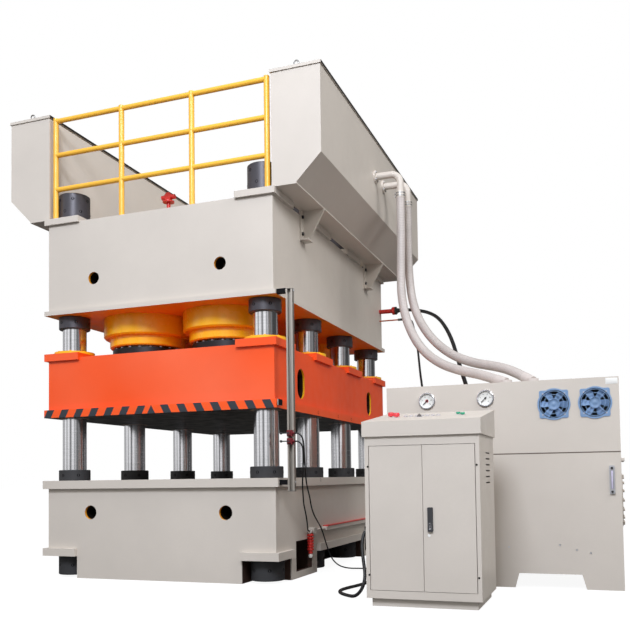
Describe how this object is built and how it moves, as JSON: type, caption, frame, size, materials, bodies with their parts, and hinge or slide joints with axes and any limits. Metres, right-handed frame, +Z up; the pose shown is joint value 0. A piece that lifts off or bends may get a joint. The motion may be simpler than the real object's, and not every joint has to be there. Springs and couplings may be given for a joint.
{
  "type": "hydraulic press",
  "caption": "Eight-column hydraulic press with a sliding platen under four cylinders, crown-side oil tanks, a floor power unit and a control console, joined by hoses.",
  "frame": {"origin": "middle of the press base's underside, on the floor", "axes": "+Z up, -Y towards the front of the press, +X towards the power unit and the console"},
  "size_m": [5.24, 4.238, 4.238],
  "materials": {
    "frame_grey": "satin",
    "orange_red_paint": "satin",
    "yellow_paint": "satin",
    "red_paint": "satin",
    "copper_paint": "satin",
    "black_steel": "matte",
    "chromed_steel": "polished",
    "bright_steel": "brushed",
    "bare_aluminium": "satin",
    "blue_plastic": "gloss",
    "red_plastic": "gloss",
    "green_plastic": "gloss",
    "white_plastic": "gloss",
    "black_plastic": "matte",
    "grey_hose": "satin",
    "black_rubber": "matte"
  },
  "bodies": {
    "frame": {"base_weldment": "frame_grey", "bolster_plate": "frame_grey", "crown_weldment": "frame_grey", "columns": "chromed_steel", "base_nuts": "black_steel", "crown_nuts": "black_steel", "cylinders": "yellow_paint", "prefill_valves": "black_steel", "branch_pipes": "frame_grey", "crown_valve": "red_paint", "left_tank": "frame_grey", "right_tank": "frame_grey", "tank_lids": "frame_grey", "tank_brackets": "frame_grey", "railings": "yellow_paint", "suction_pipes": "frame_grey", "pressure_pipe": "red_paint", "pilot_pipe": "copper_paint", "limit_rail": "bare_aluminium", "limit_switches": "red_plastic", "cable_duct": "frame_grey", "duct_cover": "red_paint", "red_conduit": "red_plastic", "oil_tank": "frame_grey", "pump_housing": "frame_grey", "motor_pump": "black_steel", "fan_frames": "blue_plastic", "gauge_cases": "bright_steel", "level_gauge": "bright_steel", "clean_out_cover": "frame_grey", "hose_stubs": "black_steel", "console_cabinet": "frame_grey", "console_desk": "frame_grey", "pilot_lamps": "white_plastic", "suction_hose_front": "grey_hose", "suction_hose_rear": "grey_hose", "pressure_hose": "black_rubber", "pilot_hose": "black_rubber", "upper_switch_cable": "black_rubber", "lower_switch_cable": "black_rubber", "control_cable": "black_rubber"},
    "slider": {"slider_weldment": "orange_red_paint", "slider_base_plate": "orange_red_paint", "guide_bushes": "yellow_paint", "rams": "chromed_steel", "slider_dog": "black_steel"},
    "left_fan": {"left_fan_rotor": "blue_plastic"},
    "right_fan": {"right_fan_rotor": "blue_plastic"},
    "left_needle": {"left_gauge_needle": "black_plastic"},
    "right_needle": {"right_gauge_needle": "black_plastic"},
    "lower_lever": {"lower_switch_lever": "bright_steel"},
    "upper_lever": {"upper_switch_lever": "bright_steel"},
    "left_door": {"left_door": "frame_grey"},
    "right_door": {"right_door": "frame_grey"},
    "handle": {"door_handle": "black_plastic"},
    "selector": {"selector_switch": "black_plastic"},
    "stop_1": {"stop_button_1": "red_plastic"},
    "stop_2": {"stop_button_2": "red_plastic"},
    "start_1": {"start_button_1": "green_plastic"},
    "start_2": {"start_button_2": "green_plastic"}
  },
  "joints": [
    {"name": "slider_stroke", "type": "slide", "parent": "frame", "child": "slider", "axis": [0, 0, 1], "range_m": [-0.45, 0]},
    {"name": "left_fan_spin", "type": "hinge", "parent": "frame", "child": "left_fan", "pos_m": [3.222, -1.26, 1.376], "axis": [0, 1, 0], "continuous": true},
    {"name": "right_fan_spin", "type": "hinge", "parent": "frame", "child": "right_fan", "pos_m": [3.514, -1.26, 1.376], "axis": [0, 1, 0], "continuous": true},
    {"name": "left_needle_turn", "type": "hinge", "parent": "frame", "child": "left_needle", "pos_m": [2.259, -1.29, 1.443], "axis": [0, 1, 0], "range_deg": [0, 270], "stiffness_Nm_per_rad": 0.005, "springref_deg": -28.65},
    {"name": "right_needle_turn", "type": "hinge", "parent": "frame", "child": "right_needle", "pos_m": [2.716, -1.29, 1.443], "axis": [0, 1, 0], "range_deg": [0, 270], "stiffness_Nm_per_rad": 0.005, "springref_deg": -28.65},
    {"name": "lower_lever_turn", "type": "hinge", "parent": "frame", "child": "lower_lever", "pos_m": [1.236, -1.6843, 1.139], "axis": [0, 1, 0], "range_deg": [-20, 20], "stiffness_Nm_per_rad": 3, "springref_deg": 0.4},
    {"name": "upper_lever_turn", "type": "hinge", "parent": "frame", "child": "upper_lever", "pos_m": [1.236, -1.6843, 1.203], "axis": [0, 1, 0], "range_deg": [-20, 20], "stiffness_Nm_per_rad": 3, "springref_deg": 0.4},
    {"name": "left_door_hinge", "type": "hinge", "parent": "frame", "child": "left_door", "pos_m": [2.121, -2.414, 0.579], "axis": [0, 0, -1], "range_deg": [0, 110]},
    {"name": "right_door_hinge", "type": "hinge", "parent": "frame", "child": "right_door", "pos_m": [2.791, -2.414, 0.579], "axis": [0, 0, 1], "range_deg": [0, 110]},
    {"name": "handle_turn", "type": "hinge", "parent": "right_door", "child": "handle", "pos_m": [2.513, -2.43, 0.631], "axis": [0, -1, 0], "range_deg": [0, 90]},
    {"name": "selector_turn", "type": "hinge", "parent": "frame", "child": "selector", "pos_m": [2.397, -2.17186, 1.2522], "axis": [0, -0.1452, 0.9894], "range_deg": [-45, 45]},
    {"name": "stop_1_press", "type": "slide", "parent": "frame", "child": "stop_1", "axis": [0, -0.1452, 0.9894], "range_m": [-0.005, 0], "stiffness_N_per_m": 500, "springref_m": 0.004},
    {"name": "stop_2_press", "type": "slide", "parent": "frame", "child": "stop_2", "axis": [0, -0.1452, 0.9894], "range_m": [-0.005, 0], "stiffness_N_per_m": 500, "springref_m": 0.004},
    {"name": "start_1_press", "type": "slide", "parent": "frame", "child": "start_1", "axis": [0, -0.1452, 0.9894], "range_m": [-0.005, 0], "stiffness_N_per_m": 500, "springref_m": 0.004},
    {"name": "start_2_press", "type": "slide", "parent": "frame", "child": "start_2", "axis": [0, -0.1452, 0.9894], "range_m": [-0.005, 0], "stiffness_N_per_m": 500, "springref_m": 0.004}
  ]
}
